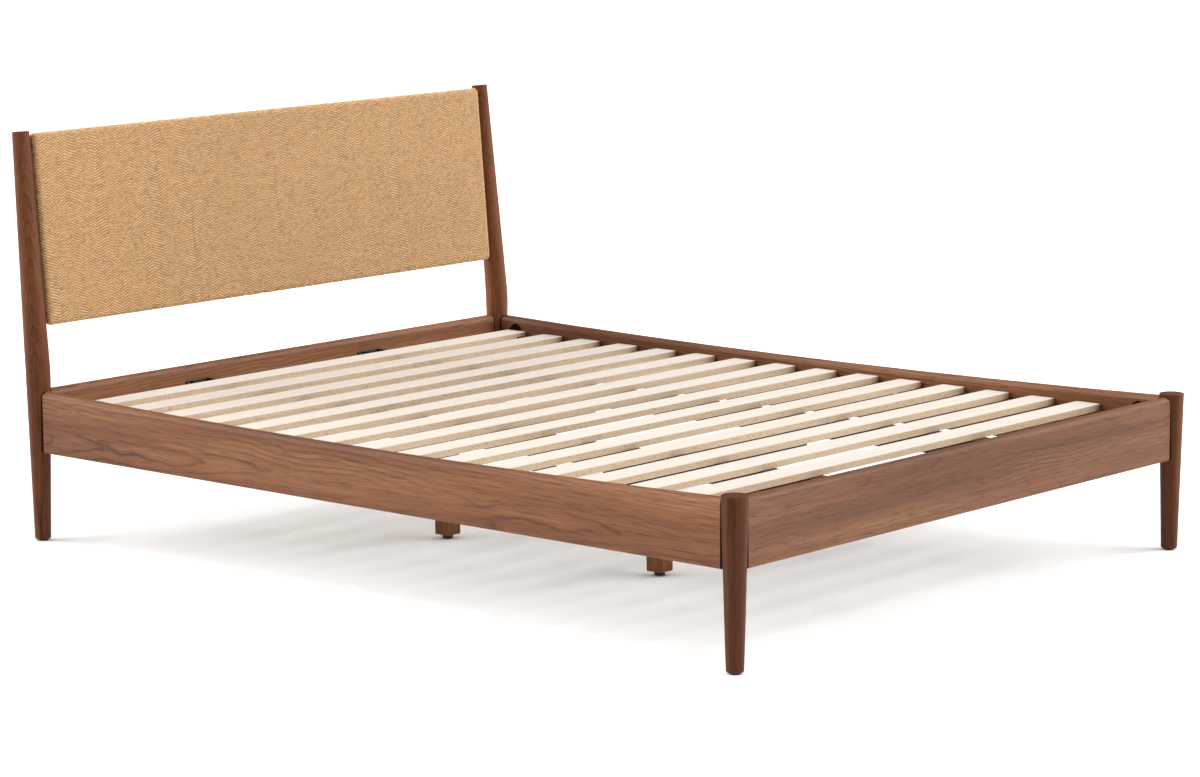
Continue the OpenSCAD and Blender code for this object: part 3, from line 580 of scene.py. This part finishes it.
def makeWrap():  # a flat place (x across, y round, z out) to its place on the round-edged slab
    tree, given = newGeometryTree("wrapOnSlab", [
        ("Vector", ("Flat",)), ("Float", ("Half Width", "Flat Height", "Radius"))],
        ("Place", "Vector"))
    flat = split(tree, given["Flat"])
    halfWidth, straight, radius = given["Half Width"], given["Flat Height"], given["Radius"]
    quarter = calc(tree, "MULTIPLY", radius, math.pi / 2)
    halfTurn = calc(tree, "MULTIPLY", radius, math.pi)

    def run(start, length):  # how much of the stretch that begins at start lies before y
        passed = calc(tree, "MAXIMUM", calc(tree, "SUBTRACT", flat[1], start), 0.0)
        return calc(tree, "MINIMUM", passed, length)

    frontEnd = calc(tree, "ADD", quarter, straight)
    backStart = calc(tree, "ADD", frontEnd, halfTurn)
    backEnd = calc(tree, "ADD", backStart, straight)
    climb = calc(tree, "SUBTRACT", run(quarter, straight), run(backStart, straight))
    turned = calc(tree, "ADD", calc(tree, "ADD", run(0.0, quarter), run(frontEnd, halfTurn)),
                  run(backEnd, quarter))
    angle = calc(tree, "SUBTRACT", calc(tree, "DIVIDE", turned, radius), math.pi / 2)
    sideways, distance = calc(tree, "SIGN", flat[0]), calc(tree, "ABSOLUTE", flat[0])
    past = calc(tree, "MAXIMUM", calc(tree, "SUBTRACT", distance, halfWidth), 0.0)
    turn = calc(tree, "MINIMUM", calc(tree, "DIVIDE", past, radius), math.pi / 2)
    inward = calc(tree, "COSINE", turn)
    forward = calc(tree, "MULTIPLY", calc(tree, "COSINE", angle), inward)
    normal = vector(tree, calc(tree, "MULTIPLY", sideways, calc(tree, "SINE", turn)),
                    calc(tree, "MULTIPLY", forward, -1.0),
                    calc(tree, "MULTIPLY", calc(tree, "SINE", angle), inward))
    core = vector(tree, calc(tree, "MULTIPLY", sideways,
                             calc(tree, "MINIMUM", distance, halfWidth)), 0.0, climb)
    out = addNode(tree, "ShaderNodeVectorMath", {
        0: normal, "Scale": calc(tree, "ADD", radius, flat[2])}, operation="SCALE")
    addNode(tree, "NodeGroupOutput", {0: vectorCalc(tree, "ADD", core, out.outputs[0])})
    return tree


def makeCord(tree, settings, crest, valley):  # a small arched sheet, one unit long and wide
    along, across = settings["cordPoints"]
    grid = addNode(tree, "GeometryNodeMeshGrid", {
        "Size X": 1.0, "Size Y": 1.0, "Vertices X": along, "Vertices Y": across})
    mapped = addNode(tree, "GeometryNodeStoreNamedAttribute", {
        "Geometry": grid.outputs["Mesh"], "Name": "UVMap", "Value": grid.outputs["UV Map"]},
        data_type="FLOAT2", domain="CORNER")
    parts = split(tree, addNode(tree, "GeometryNodeInputPosition").outputs[0])

    def falling(part, power):  # 1 in the middle, 0 at both ends
        outward = calc(tree, "ABSOLUTE", calc(tree, "MULTIPLY", part, 2.0))
        return calc(tree, "SUBTRACT", 1.0, calc(tree, "POWER", outward, power))

    swell = calc(tree, "MULTIPLY", falling(parts[0], settings["endPower"]),
                 falling(parts[1], settings["flankPower"]))
    lift = calc(tree, "MULTIPLY_ADD", swell, calc(tree, "SUBTRACT", crest, valley), valley)
    arched = addNode(tree, "GeometryNodeSetPosition", {
        "Geometry": mapped.outputs[0], "Position": vector(tree, parts[0], parts[1], lift)})
    return addNode(tree, "GeometryNodeSetShadeSmooth", {"Geometry": arched.outputs[0]}).outputs[0]


def makeWeave(settings, rule, wrap):
    tree, given = newGeometryTree("wovenCord", [
        ("Geometry", ("Geometry",)),
        ("Float", ("Columns", "Rows", "First Column", "Band Columns", "Column Pitch",
                   "Row Pitch", "Chevron", "Long Leg", "Wander", "Crest", "Valley",
                   "Half Width", "Flat Height", "Radius", "Seed")),
        ("Int", ("Shade Seed",)), ("Vector", ("Lean", "Foot")), ("Material", ("Material",))],
        ("Geometry", "Geometry"))

    count = calc(tree, "MULTIPLY", given["Band Columns"], given["Rows"])
    cells = addNode(tree, "GeometryNodePoints", {"Count": count})
    index = addNode(tree, "GeometryNodeInputIndex").outputs[0]
    column = calc(tree, "ADD", calc(tree, "FLOORED_MODULO", index, given["Band Columns"]),
                  given["First Column"])
    row = calc(tree, "FLOOR", calc(tree, "DIVIDE", calc(tree, "ADD", index, 0.5),
                                   given["Band Columns"]))

    def over(ahead):
        return addNode(tree, "GeometryNodeGroup", {
            "Column": calc(tree, "ADD", column, ahead), "Row": row,
            "Chevron": given["Chevron"], "Long Leg": given["Long Leg"],
            "Wander": given["Wander"], "Seed": given["Seed"]}, node_tree=rule).outputs[0]

    here, behind = over(0.0), over(-1.0)
    reach = over(3.0)
    for ahead in (2.0, 1.0):  # for how many more columns the cord stays on top
        reach = calc(tree, "MULTIPLY", over(ahead), calc(tree, "ADD", reach, 1.0))
    length = calc(tree, "MINIMUM", calc(tree, "ADD", reach, 1.0),
                  calc(tree, "SUBTRACT", given["Columns"], column))
    starts = calc(tree, "MULTIPLY", here, calc(tree, "SUBTRACT", 1.0, behind))
    fromMiddle = calc(tree, "SUBTRACT", calc(tree, "MULTIPLY_ADD", length, 0.5, column),
                      calc(tree, "MULTIPLY", given["Columns"], 0.5))
    x = calc(tree, "MULTIPLY", fromMiddle, given["Column Pitch"])
    y = calc(tree, "MULTIPLY", calc(tree, "ADD", row, 0.5), given["Row Pitch"])
    laid = addNode(tree, "GeometryNodeSetPosition", {
        "Geometry": cells.outputs[0], "Position": vector(tree, x, y, 0.0)})
    size = vector(tree, calc(tree, "MULTIPLY", calc(tree, "ADD", length, settings["dive"]),
                             given["Column Pitch"]),
                  calc(tree, "MULTIPLY", given["Row Pitch"], settings["swelling"]), 1.0)

    cords = addNode(tree, "GeometryNodeInstanceOnPoints", {
        "Points": laid.outputs[0], "Selection": starts, "Scale": size,
        "Instance": makeCord(tree, settings, given["Crest"], given["Valley"])})
    chance = addNode(tree, "FunctionNodeRandomValue", {"Seed": given["Shade Seed"]},
                     data_type="FLOAT")
    shaded = addNode(tree, "GeometryNodeStoreNamedAttribute", {
        "Geometry": cords.outputs[0], "Name": "cordShade", "Value": chance.outputs[1]},
        data_type="FLOAT", domain="INSTANCE")
    whole = addNode(tree, "GeometryNodeRealizeInstances", {0: shaded.outputs[0]})
    flatPlace = addNode(tree, "GeometryNodeInputPosition").outputs[0]
    wrapped = addNode(tree, "GeometryNodeGroup", {
        "Flat": flatPlace, "Half Width": given["Half Width"],
        "Flat Height": given["Flat Height"], "Radius": given["Radius"]}, node_tree=wrap)
    shaped = addNode(tree, "GeometryNodeSetPosition", {
        "Geometry": whole.outputs[0], "Position": wrapped.outputs[0]})
    leaned = addNode(tree, "GeometryNodeTransform", {
        "Geometry": shaped.outputs[0], "Rotation": given["Lean"], "Translation": given["Foot"]})
    painted = addNode(tree, "GeometryNodeSetMaterial", {
        "Geometry": leaned.outputs[0], "Material": given["Material"]})
    addNode(tree, "NodeGroupOutput", {0: painted.outputs[0]})
    return tree


def cordMaterial(name, light, dark, woven):
    look = cordLook
    material, tree, shader = newMaterial(name)
    coordinates = addNode(tree, "ShaderNodeTexCoord")
    place = coordinates.outputs["Object"]
    patch = noise(tree, place, *look["patches"])
    slub = noise(tree, vectorCalc(tree, "MULTIPLY", place, look["slubs"]), 1.0)
    fibre = noise(tree, place, look["fibres"])
    tone = calc(tree, "MULTIPLY_ADD", patch, look["patchShare"],
                calc(tree, "MULTIPLY", slub, look["slubShare"]))
    height = fibre
    if woven:
        shade = addNode(tree, "ShaderNodeAttribute", attribute_name="cordShade").outputs["Fac"]
        shade = calc(tree, "MULTIPLY", shade, shade)  # most cords are pale, a few are dark
        tone = calc(tree, "MULTIPLY_ADD", shade, look["shadeShare"],
                    calc(tree, "SUBTRACT", tone, look["paler"]))
        uv = split(tree, coordinates.outputs["UV"])
        turns = calc(tree, "ADD", calc(tree, "MULTIPLY", uv[0], look["layTurns"]), uv[1])
        lay = calc(tree, "SINE", calc(tree, "MULTIPLY", turns, 2 * math.pi))
        height = calc(tree, "MULTIPLY_ADD", lay, look["layHeight"], fibre)
    bump = addNode(tree, "ShaderNodeBump", {
        "Strength": look["relief"], "Distance": look["bumpDepth"], "Height": height})
    connect(tree, mixed(tree, tone, light, dark), shader.inputs["Base Color"])
    connect(tree, calc(tree, "MULTIPLY_ADD", fibre, look["roughSpread"], look["roughness"]),
            shader.inputs["Roughness"])
    connect(tree, bump.outputs[0], shader.inputs["Normal"])
    shader.inputs["Sheen Weight"].default_value = look["sheen"]
    shader.inputs["Sheen Roughness"].default_value = look["sheenRoughness"]
    return material


def slabMesh(settings, lift):  # the round-edged slab under the cords, closed
    radius, steps = settings["edgeRadius"], settings["edgeSteps"]
    side = settings["width"] / 2 - radius
    straight = settings["height"] - 2 * radius
    turns = [math.pi / 2 * step / steps for step in range(steps + 1)]
    halfTurns = [math.pi * step / (2 * steps) for step in range(2 * steps + 1)]
    across = [(-side, -turn) for turn in reversed(turns)] + [(side, turn) for turn in turns]
    around = [(0.0, -turn) for turn in reversed(turns)]
    around += [(straight, turn) for turn in halfTurns]
    around += [(0.0, math.pi + turn) for turn in turns[:-1]]
    verts, faces = [], []
    for x, turn in across:
        for climb, angle in around:
            out = Vector((math.sin(turn), -math.cos(angle) * math.cos(turn),
                          math.sin(angle) * math.cos(turn)))
            verts.append(Vector((x, 0, climb)) + out * (radius + lift))
    ring = len(around)
    for i in range(len(across) - 1):
        for j in range(ring):
            k = (j + 1) % ring
            faces.append((i * ring + j, (i + 1) * ring + j, (i + 1) * ring + k, i * ring + k))
    mesh = bpy.data.meshes.new("wovenBase")
    mesh.from_pydata([tuple(v) for v in verts], [], faces)
    return mesh


def clean(piece):  # merge doubles, point the faces outwards, shade smooth
    mesh = bmesh.new()
    mesh.from_mesh(piece.data)
    bmesh.ops.remove_doubles(mesh, verts=mesh.verts, dist=1e-6)
    bmesh.ops.recalc_face_normals(mesh, faces=mesh.faces)
    mesh.to_mesh(piece.data)
    mesh.free()
    piece.data.shade_smooth()


def runTree(tree, name, values):  # a plain mesh object from a tree with these inputs
    carrier = addToScene("weaving", bpy.data.meshes.new("weaving"))
    modifier = carrier.modifiers.new("weave", "NODES")
    modifier.node_group = tree
    for socket in tree.interface.items_tree:
        if socket.in_out == "INPUT" and socket.name in values:
            modifier[socket.identifier] = values[socket.name]
    made = bpy.data.meshes.new_from_object(
        carrier.evaluated_get(bpy.context.evaluated_depsgraph_get()))
    bpy.data.objects.remove(carrier)
    return addToScene(name, made)


def weavePanel(settings):
    radius, lean, columns = settings["edgeRadius"], settings["lean"], settings["columns"]
    halfWidth = settings["width"] / 2 - radius
    straight = settings["height"] - 2 * radius
    wide = 2 * halfWidth + math.pi * radius
    around = 2 * straight + 2 * math.pi * radius
    foot = Vector(settings["foot"]) + Matrix.Rotation(-lean, 3, "X") @ Vector(
        (0, -settings["forward"], settings["rise"] + radius))
    tree = makeWeave(settings, makeTwillRule(settings), makeWrap())
    cord = cordMaterial("cord", cordLook["light"], cordLook["dark"], True)
    # the base slab between the cords is coloured dark: painted shade of the recesses under the
    # cords
    under = cordMaterial("cordPaintedShade", cordLook["dark"], cordLook["under"], False)

    base = addToScene("woven_cord_base",
                      slabMesh(settings, settings["valley"] + settings["under"]))
    base.data.transform(Matrix.Translation(foot) @ Matrix.Rotation(-lean, 4, "X"))
    clean(base)
    base.data.materials.append(under)
    pieces = [base]
    values = {
        "Columns": float(columns), "Rows": float(settings["rows"]),
        "Column Pitch": wide / (columns + settings["endRoom"]),
        "Row Pitch": around / settings["rows"], "Chevron": settings["chevron"],
        "Long Leg": settings["longLeg"], "Wander": settings["wander"],
        "Crest": settings["crest"], "Valley": settings["valley"], "Half Width": halfWidth,
        "Flat Height": straight, "Radius": radius, "Seed": settings["seed"],
        "Shade Seed": settings["shadeSeed"], "Lean": (-lean, 0.0, 0.0), "Foot": tuple(foot),
        "Material": cord}
    bandColumns = math.ceil(columns / settings["bands"])
    for band in range(settings["bands"]):
        first = band * bandColumns
        values["First Column"] = float(first)
        values["Band Columns"] = float(min(bandColumns, columns - first))
        pieces.append(runTree(tree, "woven_cord_" + str(band + 1), values))
    for piece in pieces:
        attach(piece, "bed_frame")
        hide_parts("woven_cord_panel")
    triangles = sum(len(face.vertices) - 2 for piece in pieces for face in piece.data.polygons)
    print("weave:", len(pieces), "pieces,", triangles, "triangles")


weavePanel(weave)
